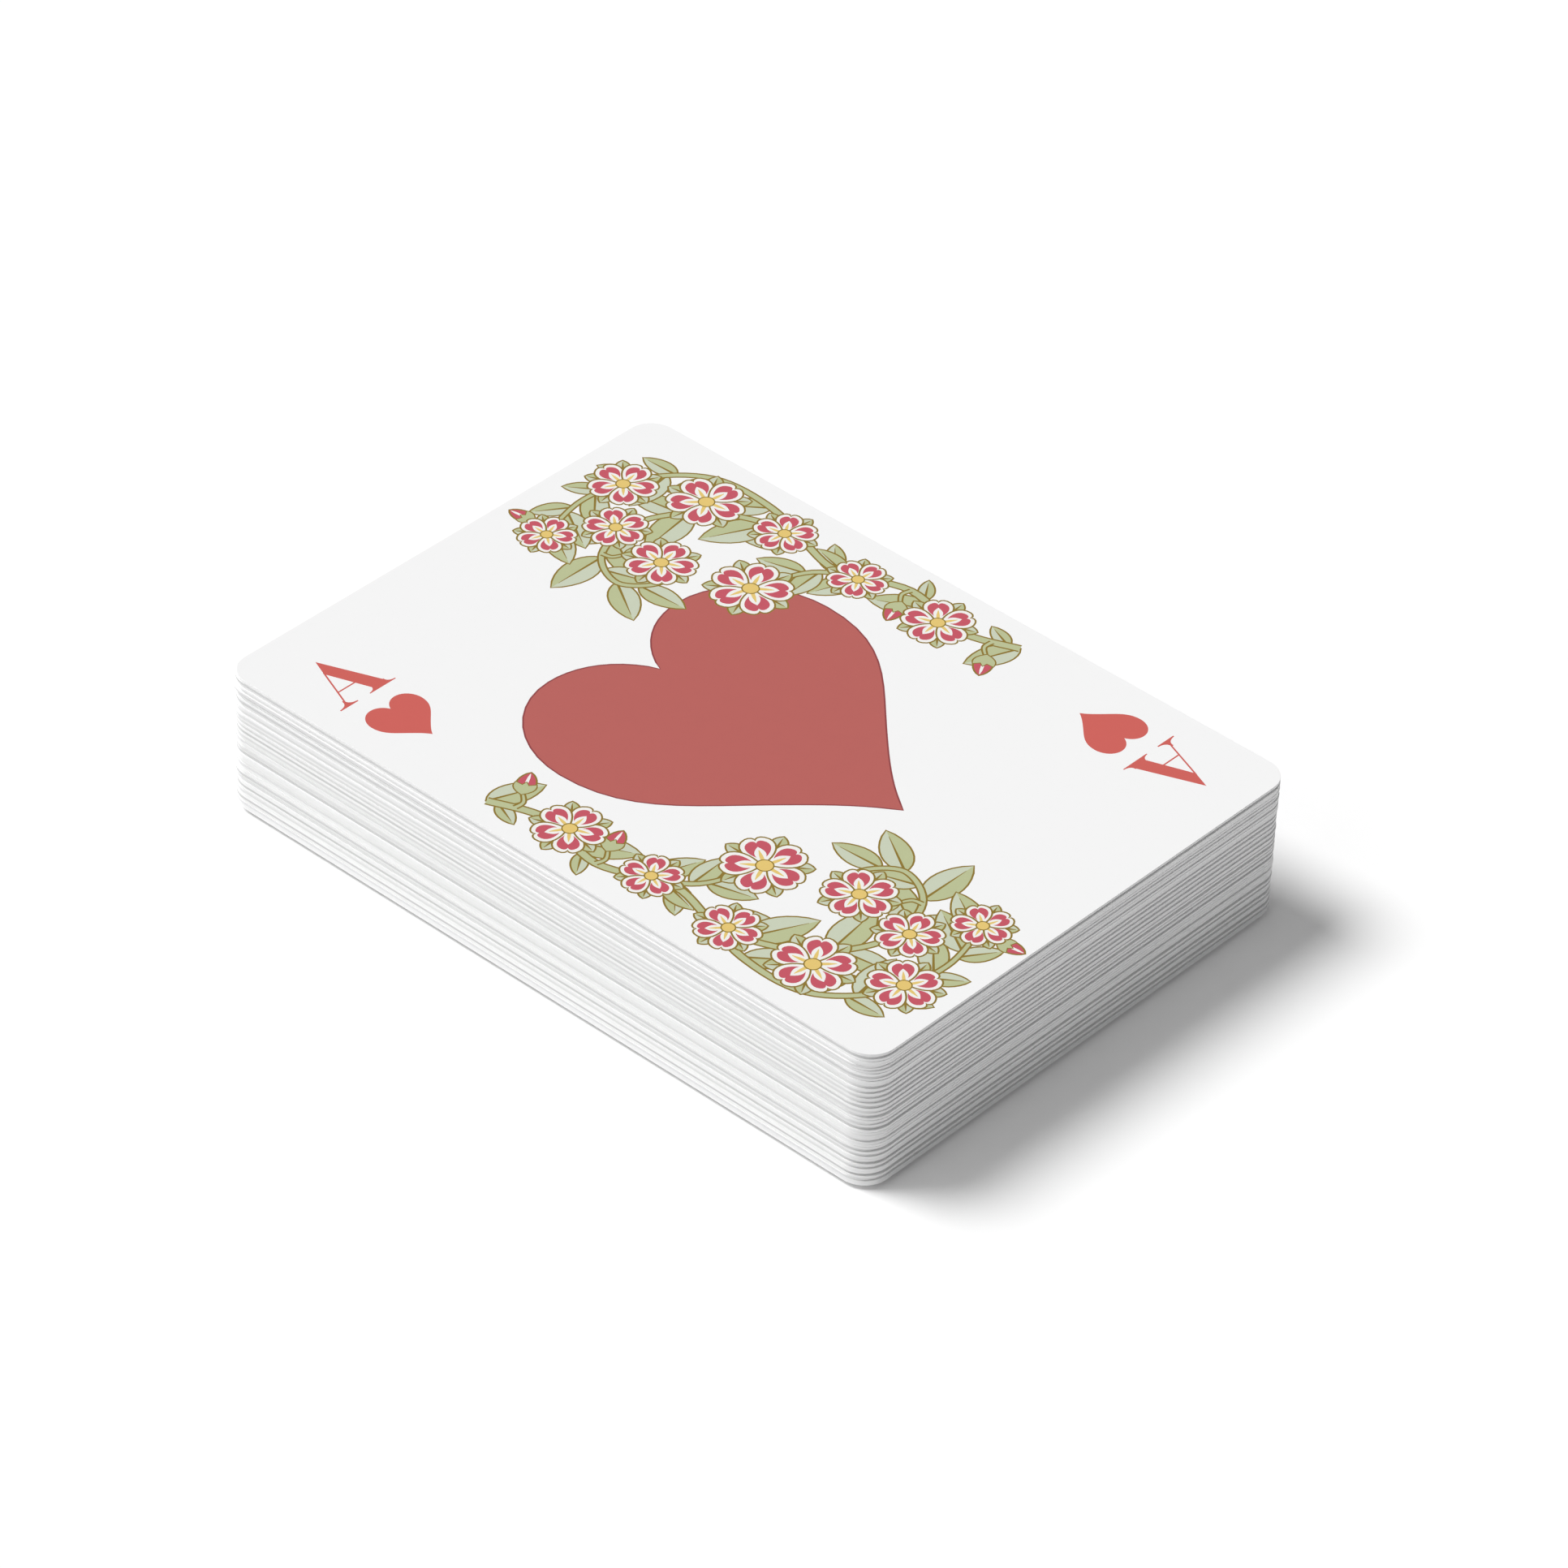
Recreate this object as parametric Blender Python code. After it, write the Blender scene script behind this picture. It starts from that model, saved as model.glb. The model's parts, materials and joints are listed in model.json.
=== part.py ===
"""Pack of playing cards: four suits of thirteen and two jokers, squared up face up on a table.

Every card is its own object. All cards share one die-cut blank, and each lies on the card
below it with a film of air between them. Units are metres, +Z is up, +Y points to the top edge
of the faces, and the origin is under the middle of the pack.
"""

import math
import random

import bmesh
import bpy
from mathutils import Vector

# The blank: one card of poker size
CARD_WIDTH = 0.063
CARD_LENGTH = 0.088
CARD_THICKNESS = 0.00029
CORNER_RADIUS = 0.003
CORNER_SEGMENTS = 5
EDGE_BREAK = 0.00005

# The stack
AIR_FILM = 0.000015
SQUARING_ERROR = Vector((0.00006, 0.00003))
TURNING_ERROR = math.radians(0.03)
SQUARING_SEED = 7

# Cards that slipped along the pack when it was squared
SLIP_CHANCE = 0.65
SLIP_STEP = (0.00010, 0.00026)

# One card that was not pushed home when the pack was squared
PROUD_CARD = "six_of_hearts"
PROUD_STEP = Vector((-0.00010, 0.00030))

# From the bottom of the pack to the top
JOKERS = ("black_joker", "red_joker")
SUITS = ("spades", "clubs", "diamonds", "hearts")
RANKS = (
    "king", "queen", "jack", "ten", "nine", "eight", "seven",
    "six", "five", "four", "three", "two", "ace",
)

STOCK_COLOUR = (0.90, 0.90, 0.89, 1.0)
STOCK_ROUGHNESS = 0.48


def clear_scene():
    """Take every object out of the file."""
    for item in list(bpy.data.objects):
        bpy.data.objects.remove(item, do_unlink=True)


def coated_stock():
    """White coated card with a low sheen."""
    material = bpy.data.materials.new("coated_stock")
    material.use_nodes = True
    shader = material.node_tree.nodes["Principled BSDF"]
    shader.inputs["Base Color"].default_value = STOCK_COLOUR
    shader.inputs["Roughness"].default_value = STOCK_ROUGHNESS
    shader.inputs["Metallic"].default_value = 0.0
    return material


def is_upright(edge):
    """True for an edge that runs through the thickness of the card."""
    low, high = edge.verts
    return abs(low.co.z - high.co.z) > CARD_THICKNESS / 2


def is_rim(edge):
    """True for an edge between a printed side and the cut edge."""
    return sum(abs(face.normal.z) > 0.5 for face in edge.link_faces) == 1


def bevel(shape, edges, width, segments):
    """Round or break the given edges."""
    bmesh.ops.bevel(
        shape,
        geom=edges,
        offset=width,
        offset_type="OFFSET",
        segments=segments,
        profile=0.5,
        affect="EDGES",
        clamp_overlap=True,
    )


def card_blank():
    """One die-cut card, lying flat with its centre at the origin.

    The corners are round, and the cut edge is broken on both sides, which leaves
    the fine groove that shows between two cards in a pack.
    """
    shape = bmesh.new()
    bmesh.ops.create_cube(shape, size=1.0)
    bmesh.ops.scale(
        shape, vec=(CARD_WIDTH, CARD_LENGTH, CARD_THICKNESS), verts=shape.verts
    )
    uprights = [edge for edge in shape.edges if is_upright(edge)]
    bevel(shape, uprights, CORNER_RADIUS, CORNER_SEGMENTS)
    shape.normal_update()
    rim = [edge for edge in shape.edges if is_rim(edge)]
    bevel(shape, rim, min(EDGE_BREAK, CARD_THICKNESS / 3), 1)
    mesh = bpy.data.meshes.new("card_blank")
    shape.to_mesh(mesh)
    shape.free()
    return mesh


def pack_order():
    """Names of the cards from the bottom of the pack to the top."""
    return list(JOKERS) + [f"{rank}_of_{suit}" for suit in SUITS for rank in RANKS]


def squaring(names):
    """How far each card strays from square: {name: (sideways step, turn)}.

    A card that slipped leaves a slot between its neighbours at one end of the pack, so two
    that slipped are never neighbours. The lowest card lies true, because the pack was tapped
    square on the table, and so does the top card, which was laid on last.
    """
    draw = random.Random(SQUARING_SEED)
    strays = {}
    slipped = False
    for name in names:
        step = SQUARING_ERROR * Vector((draw.uniform(-1, 1), draw.uniform(-1, 1)))
        turn = TURNING_ERROR * draw.uniform(-1, 1)
        slipped = not slipped and draw.random() < SLIP_CHANCE
        if slipped:
            step.y += draw.uniform(*SLIP_STEP)
        if name == PROUD_CARD:
            step = step + PROUD_STEP
        strays[name] = (step, turn)
    for name in (names[0], names[-1]):
        strays[name] = (Vector((0.0, 0.0)), 0.0)
    return strays


def plan_middle(strays):
    """Middle of the rectangle that the strayed cards cover, seen from above.

    Each corner arc is counted through its centre, so the turn of a round corner is exact.
    """
    reach_x = CARD_WIDTH / 2 - CORNER_RADIUS
    reach_y = CARD_LENGTH / 2 - CORNER_RADIUS
    spans_x, spans_y = [], []
    for step, turn in strays.values():
        cos, sin = math.cos(turn), abs(math.sin(turn))
        half_x = reach_x * cos + reach_y * sin
        half_y = reach_y * cos + reach_x * sin
        spans_x += [step.x - half_x, step.x + half_x]
        spans_y += [step.y - half_y, step.y + half_y]
    return Vector(((min(spans_x) + max(spans_x)) / 2, (min(spans_y) + max(spans_y)) / 2))


def stack_pack():
    """Lay every card on the one below it."""
    pack = bpy.data.collections.new("playing_card_deck")
    bpy.context.scene.collection.children.link(pack)
    blank = card_blank()
    blank.materials.append(coated_stock())
    names = pack_order()
    strays = squaring(names)
    middle = plan_middle(strays)
    for place, name in enumerate(names):
        step, turn = strays[name]
        card = bpy.data.objects.new(name, blank)
        height = place * (CARD_THICKNESS + AIR_FILM) + CARD_THICKNESS / 2
        card.location = (step.x - middle.x, step.y - middle.y, height)
        card.rotation_euler = (0.0, 0.0, turn)
        pack.objects.link(card)


clear_scene()
stack_pack()
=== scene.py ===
"""Dress a pack of playing cards: printed stock, floor, soft light and camera.

Every card replaces its plain solid with the same blank cut finer, with round corners and a
rolled cut edge. Both sides are printed flush: each patch of ink is a region of the card's own
surface. Drawings lie on the plane of the face, where a point is a complex number, x to the
right and y to the top edge, in millimetres from the middle of the card.
"""

from __future__ import annotations

import cmath
import json
import logging
import math
import random
from collections.abc import Callable, Iterable, Sequence
from dataclasses import dataclass, field
from enum import Enum

import bmesh
import bpy
from mathutils import Matrix, Vector
from mathutils.geometry import delaunay_2d_cdt

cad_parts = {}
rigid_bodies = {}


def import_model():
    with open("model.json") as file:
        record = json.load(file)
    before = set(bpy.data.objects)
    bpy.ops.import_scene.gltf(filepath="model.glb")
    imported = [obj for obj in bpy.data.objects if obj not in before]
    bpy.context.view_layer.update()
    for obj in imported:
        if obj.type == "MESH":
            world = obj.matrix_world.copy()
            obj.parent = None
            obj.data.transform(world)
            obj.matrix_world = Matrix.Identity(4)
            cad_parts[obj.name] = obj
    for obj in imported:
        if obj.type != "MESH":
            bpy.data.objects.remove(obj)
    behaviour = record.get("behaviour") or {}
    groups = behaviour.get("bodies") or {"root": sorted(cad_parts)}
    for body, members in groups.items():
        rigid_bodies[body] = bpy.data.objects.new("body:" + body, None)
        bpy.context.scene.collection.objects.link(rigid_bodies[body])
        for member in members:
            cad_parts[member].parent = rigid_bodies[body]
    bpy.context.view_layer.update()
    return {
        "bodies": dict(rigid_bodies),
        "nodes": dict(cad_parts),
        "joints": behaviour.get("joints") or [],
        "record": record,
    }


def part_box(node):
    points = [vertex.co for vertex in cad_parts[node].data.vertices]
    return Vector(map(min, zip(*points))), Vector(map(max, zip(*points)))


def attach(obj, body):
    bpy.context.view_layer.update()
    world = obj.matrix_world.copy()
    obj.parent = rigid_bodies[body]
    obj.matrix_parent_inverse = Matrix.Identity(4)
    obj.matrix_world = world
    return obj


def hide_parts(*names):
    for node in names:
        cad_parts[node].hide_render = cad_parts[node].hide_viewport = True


LOG = logging.getLogger("pack_of_cards")

# A millimetre in metres
MM = 0.001
# The number that turns a drawing upside down
HALF_TURN = -1 + 0j
# A length that counts as none
TINY = 1e-9
# Sum of two sides' normals under which a corner is needle-sharp
NEEDLE = 0.3


@dataclass(frozen=True)
class Finish:
    """How one ink, or the bare stock, looks.

    Attributes:
        name: the material's name.
        colour: red, green and blue from 0 to 255, as a screen shows them.
        roughness: mean roughness of the surface.
        wander: share by which the tone wanders over the card that is on show.
        tooth: depth of the surface grain in metres.
    """

    name: str
    colour: tuple[int, int, int]
    roughness: float
    wander: float
    tooth: float = 1.0e-6

    def linear(self, tone: float = 1.0) -> tuple[float, float, float, float]:
        """The colour in linear light.

        Args:
            tone: number that it is multiplied by.

        Returns:
            Red, green and blue, and an alpha of 1.
        """
        values = [channel / 255 for channel in self.colour]
        light = [v / 12.92 if v <= 0.04045 else ((v + 0.055) / 1.055) ** 2.4 for v in values]
        return tuple(tone * v for v in light) + (1.0,)


class Ink(Enum):
    """The bare stock and the inks of the pack."""

    STOCK = Finish("coated_stock", (244, 244, 244), 0.50, 0.006)
    EDGE = Finish("cut_edge", (244, 244, 244), 0.80, 0.004, 0.0)
    EDGE_SOFT = Finish("cut_edge_soft", (240, 240, 240), 0.80, 0.004, 0.0)
    # Painted shade: the two greyer cut-edge tones below go only on cards that lie behind their
    # neighbours, to darken the recess between them.
    EDGE_GREY = Finish("cut_edge_grey", (226, 226, 226), 0.80, 0.004, 0.0)
    EDGE_DEEP = Finish("cut_edge_deep", (210, 210, 210), 0.80, 0.004, 0.0)
    PIP_RED = Finish("large_pip_red", (181, 97, 92), 0.46, 0.035)
    PIP_RED_LINE = Finish("large_pip_red_line", (140, 66, 68), 0.46, 0.03)
    RED = Finish("index_red", (203, 97, 90), 0.46, 0.02)
    PIP_BLACK = Finish("large_pip_black", (72, 68, 72), 0.46, 0.05)
    PIP_BLACK_LINE = Finish("large_pip_black_line", (45, 42, 46), 0.46, 0.05)
    BLACK = Finish("index_black", (56, 53, 57), 0.46, 0.03)
    LEAF = Finish("leaf_sage", (185, 191, 148), 0.48, 0.05)
    LEAF_PALE = Finish("leaf_pale_sage", (200, 207, 185), 0.48, 0.04)
    OLIVE = Finish("olive_line", (138, 115, 46), 0.46, 0.05)
    ROSE = Finish("rose_petal", (194, 86, 100), 0.46, 0.06)
    CHALK = Finish("chalk_white", (240, 239, 236), 0.50, 0.01)
    STRAW = Finish("straw_yellow", (227, 197, 117), 0.48, 0.04)
    BACK = Finish("back_red", (176, 92, 90), 0.46, 0.03)


BLACK_INKS = (Ink.BLACK, Ink.PIP_BLACK, Ink.PIP_BLACK_LINE)
RED_INKS = (Ink.RED, Ink.PIP_RED, Ink.PIP_RED_LINE)


class Suit(Enum):
    """The four suits, each with its index ink, large-pip ink and outline ink."""

    SPADES = ("spades", *BLACK_INKS)
    CLUBS = ("clubs", *BLACK_INKS)
    DIAMONDS = ("diamonds", *RED_INKS)
    HEARTS = ("hearts", *RED_INKS)

    def __init__(self, title: str, ink: Ink, large_ink: Ink, line_ink: Ink) -> None:
        """Name the parts of the value."""
        self.title, self.ink = title, ink
        self.large_ink, self.line_ink = large_ink, line_ink


class Rank(Enum):
    """The thirteen ranks with the character of each index."""

    ACE = "A"
    TWO = "2"
    THREE = "3"
    FOUR = "4"
    FIVE = "5"
    SIX = "6"
    SEVEN = "7"
    EIGHT = "8"
    NINE = "9"
    TEN = "10"
    JACK = "J"
    QUEEN = "Q"
    KING = "K"


def bezier(a: complex, b: complex, c: complex, d: complex, steps: int = 10) -> list[complex]:
    """Points along a cubic curve, without its last point.

    Args:
        a: start.
        b: first handle.
        c: second handle.
        d: end.
        steps: number of pieces.

    Returns:
        The start and the points before the end.
    """
    points = []
    for step in range(steps):
        t = step / steps
        s = 1 - t
        points.append(a * s**3 + 3 * b * s * s * t + 3 * c * s * t * t + d * t**3)
    return points


def through(knots: Sequence[complex], steps: int = 8) -> list[complex]:
    """A smooth run through given knots.

    Args:
        knots: points, or plain numbers, to pass through.
        steps: pieces between two knots.

    Returns:
        The points of the run, both ends included.
    """
    ends = [knots[0], *knots, knots[-1]]
    run = []
    for a, b, c, d in zip(ends, ends[1:], ends[2:], ends[3:]):
        for step in range(steps):
            t = step / steps
            bend = (2 * a - 5 * b + 4 * c - d) * t * t
            twist = (3 * b - a - 3 * c + d) * t**3
            run.append(0.5 * (2 * b + (c - a) * t + bend + twist))
    return run + [knots[-1]]


def ring(centre: complex, radius: complex, steps: int = 24) -> list[complex]:
    """Points round an ellipse.

    Args:
        centre: its middle.
        radius: its half width and half height.
        steps: number of points.

    Returns:
        The points, anticlockwise.
    """
    turns = [math.tau * step / steps for step in range(steps)]
    return [
        centre + complex(radius.real * math.cos(t), radius.imag * math.sin(t)) for t in turns
    ]


def mirrored(half: Sequence[complex]) -> list[complex]:
    """A half outline along +x, closed by its mirror image across the x axis."""
    back = [point.conjugate() for point in reversed(half) if abs(point.imag) > TINY]
    return [*half, *back]


def flipped(run: Sequence[complex]) -> list[complex]:
    """A run's mirror image across the y axis, from its end to its start."""
    return [complex(-point.real, point.imag) for point in reversed(run)]


def sides(outline: Sequence[complex]) -> list[tuple[complex, complex]]:
    """The sides of a closed outline, each as its two ends."""
    return list(zip(outline, [*outline[1:], outline[0]]))


def anticlockwise(outline: Sequence[complex]) -> bool:
    """Whether a closed outline runs anticlockwise."""
    return sum((a.conjugate() * b).imag for a, b in sides(outline)) > 0


def grown(outline: Sequence[complex], by: float) -> list[complex]:
    """An outline set out all round; a needle-sharp corner goes on as it points.

    Args:
        outline: the closed outline.
        by: how far it is set out.

    Returns:
        The new outline, with as many points.
    """
    count = len(outline)
    side = -1j if anticlockwise(outline) else 1j
    out = []
    for k, point in enumerate(outline):
        before = point - outline[k - 1]
        after = outline[(k + 1) % count] - point
        before, after = before / abs(before), after / abs(after)
        normal = side * (before + after)
        if abs(normal) < NEEDLE:
            normal = before - after
        out.append(point + by * normal / abs(normal))
    return out


@dataclass(frozen=True)
class Patch:
    """One closed outline filled with one ink."""

    outline: tuple[complex, ...]
    ink: Ink


@dataclass
class Drawing:
    """Patches of ink in printing order, the later ones on top.

    Attributes:
        patches: the patches.
        OLIVE_LINE: usual width of an olive line, in millimetres.
    """

    patches: list[Patch] = field(default_factory=list)

    OLIVE_LINE = 0.2

    def fill(self, outline: Sequence[complex], ink: Ink) -> None:
        """Print a closed outline, turned anticlockwise if it isn't."""
        points = outline if anticlockwise(outline) else reversed(outline)
        self.patches.append(Patch(tuple(points), ink))

    def lined(self, outline: Sequence[complex], ink: Ink, width: float = OLIVE_LINE) -> None:
        """Print an outline with an olive line round it."""
        self.fill(grown(outline, width), Ink.OLIVE)
        self.fill(outline, ink)

    def disc(self, centre: complex, radius: float, ink: Ink, steps: int = 14) -> None:
        """Print a round spot."""
        self.fill(ring(centre, complex(radius, radius), steps), ink)

    def stroke(self, path: Sequence[complex], widths: Sequence[float], ink: Ink) -> None:
        """Draw a pen line whose width changes along it.

        Args:
            path: points of the line; a closed line ends where it starts.
            widths: full width at each point.
            ink: the ink.
        """
        last = len(path) - 1
        closed = abs(path[0] - path[last]) < TINY
        banks = []
        for k, point in enumerate(path):
            before = path[k - 1] if k > 0 else path[last - 1 if closed else 0]
            after = path[k + 1] if k < last else path[1 if closed else last]
            across = 0.5j * widths[k] * (after - before) / abs(after - before)
            banks.append((point + across, point - across))
        for (a, b), (c, d) in zip(banks, banks[1:]):
            self.fill([a, b, d, c], ink)

    def line(self, path: Sequence[complex], width: float, ink: Ink) -> None:
        """Draw a pen line of one width."""
        self.stroke(path, [width] * len(path), ink)

    def place(self, other: Drawing, at: complex = 0j, turn: complex = 1 + 0j) -> None:
        """Print another drawing, turned and scaled by one number and then moved."""
        for patch in other.patches:
            self.fill([point * turn + at for point in patch.outline], patch.ink)

    def twice(self) -> Drawing:
        """Print this drawing twice, once upside down, as a double-ended card has it.

        Returns:
            The double drawing.
        """
        both = Drawing()
        both.place(self)
        both.place(self, turn=HALF_TURN)
        return both


class Pips:
    """Outlines of the four suit signs, each about two units wide round its own middle.

    Attributes:
        STEM: curve of the right side of a foot, from its top.
        OUTLINE_MM: width of the line round a large sign, in millimetres.
    """

    STEM = (0.10 + 0.10j, 0.10 - 0.35j, 0.26 - 0.80j, 0.48 - 1.0j)
    OUTLINE_MM = 0.18

    @classmethod
    def heart(cls) -> list[list[complex]]:
        """Two full lobes drawn down to a point.

        Returns:
            Its one outline.
        """
        half = [
            *bezier(0.64j, 0.096 + 0.851j, 0.276 + 0.97j, 0.483 + 0.97j),
            *bezier(0.483 + 0.97j, 0.766 + 0.97j, 1 + 0.706j, 1 + 0.397j),
            *bezier(1 + 0.397j, 1 - 0.027j, 0.744 - 0.217j, 0.449 - 0.504j),
            *bezier(0.449 - 0.504j, 0.278 - 0.671j, 0.107 - 0.838j, -1.02j),
            -1.02j,
        ]
        return [[*half, *flipped([p for p in half if p.real > TINY])]]

    @classmethod
    def diamond(cls) -> list[list[complex]]:
        """A lozenge with faintly hollow sides.

        Returns:
            Its one outline.
        """
        corners = [0.80 + 0j, 1.08j, -0.80 + 0j, -1.08j]
        outline = []
        for a, b in sides(corners):
            hollow = (a + b) / 2 * 0.90
            outline += bezier(a, (a + 2 * hollow) / 3, (b + 2 * hollow) / 3, b, 6)
        return [outline]

    @classmethod
    def stem(cls) -> list[complex]:
        """The flared foot of a spade or a club."""
        side = [*bezier(*cls.STEM, steps=8), cls.STEM[3]]
        return [*side, *flipped(side)]

    @classmethod
    def spade(cls) -> list[list[complex]]:
        """A heart on its head with a foot."""
        blade = [0.10j + complex(0.94 * p.real, -0.92 * p.imag) for p in cls.heart()[0]]
        return [blade, cls.stem()]

    @classmethod
    def club(cls) -> list[list[complex]]:
        """Three round leaves with a foot.

        Returns:
            Its outlines, which overlap.
        """
        leaf = 0.50 + 0.50j
        hub = [0.2 + 0.3j, -0.2 + 0.3j, -0.2 - 0.2j, 0.2 - 0.2j]
        leaves = [ring(0.52j, leaf), ring(-0.50 - 0.22j, leaf), ring(0.50 - 0.22j, leaf)]
        return [*leaves, hub, cls.stem()]

    @classmethod
    def drawing(cls, suit: Suit, width: float, large: bool = False) -> Drawing:
        """One suit sign about its own middle.

        Args:
            suit: the suit.
            width: full width in millimetres.
            large: whether it is the outlined sign in the middle of an ace.

        Returns:
            The printed sign.
        """
        makers: dict[Suit, Callable[[], list[list[complex]]]] = {
            Suit.HEARTS: cls.heart,
            Suit.DIAMONDS: cls.diamond,
            Suit.SPADES: cls.spade,
            Suit.CLUBS: cls.club,
        }
        outlines = [[p * width / 2 for p in outline] for outline in makers[suit]()]
        sign = Drawing()
        if large:
            for outline in outlines:
                sign.fill(grown(outline, cls.OUTLINE_MM), suit.line_ink)
        for outline in outlines:
            sign.fill(outline, suit.large_ink if large else suit.ink)
        return sign


@dataclass(frozen=True)
class Foot:
    """A bracketed serif, in the height of a character.

    Attributes:
        left: its left tip.
        stem_left: left side of the stem on it.
        stem_right: right side of that stem.
        right: its right tip.
        base: height of its base line.
        rise: how far it climbs up the stem; a negative rise hangs it from its base line.
        LIP: thickness of a tip, as a share of the rise.
        SWEEP: height of the curve between tip and stem, in the lip's thickness.
        BRACKET: height at which the curve leaves the stem, as a share of the rise.
        STEPS: pieces in the curve.
    """

    left: float
    stem_left: float
    stem_right: float
    right: float
    base: float = 0.0
    rise: float = 0.11

    LIP = 0.15
    SWEEP = 1.3
    BRACKET = 0.35
    STEPS = 6

    def outline(self) -> list[complex]:
        """The serif as one outline.

        Returns:
            Its points.
        """
        lip = self.LIP * self.rise
        low, top = complex(0, self.base), complex(0, self.base + self.rise)
        sweep = low + lip * self.SWEEP * 1j
        bracket = low + self.BRACKET * 1j * self.rise
        tip_r = self.right + low + lip * 1j
        tip_l = self.left + low + lip * 1j
        right = bezier(tip_r, (self.right + self.stem_right) / 2 + sweep,
                       self.stem_right + bracket, self.stem_right + top, self.STEPS)
        left = bezier(self.stem_left + top, self.stem_left + bracket,
                      (self.left + self.stem_left) / 2 + sweep, tip_l, self.STEPS)
        return [self.left + low, self.right + low, *right, self.stem_right + top, *left, tip_l]


@dataclass(frozen=True)
class Glyph:
    """One character of an index, a unit high on its base line, in thick and hair strokes.

    Attributes:
        strokes: each a run of knots (x, y, pen width).
        blocks: plain outlines.
        feet: serifs.
        balls: round ends (x, y, radius).
        bowls: closed rings (x, y, half width, half height).
    """

    strokes: tuple[tuple[tuple[float, float, float], ...], ...] = ()
    blocks: tuple[tuple[complex, ...], ...] = ()
    feet: tuple[Foot, ...] = ()
    balls: tuple[tuple[float, float, float], ...] = ()
    bowls: tuple[tuple[float, float, float, float], ...] = ()


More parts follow.
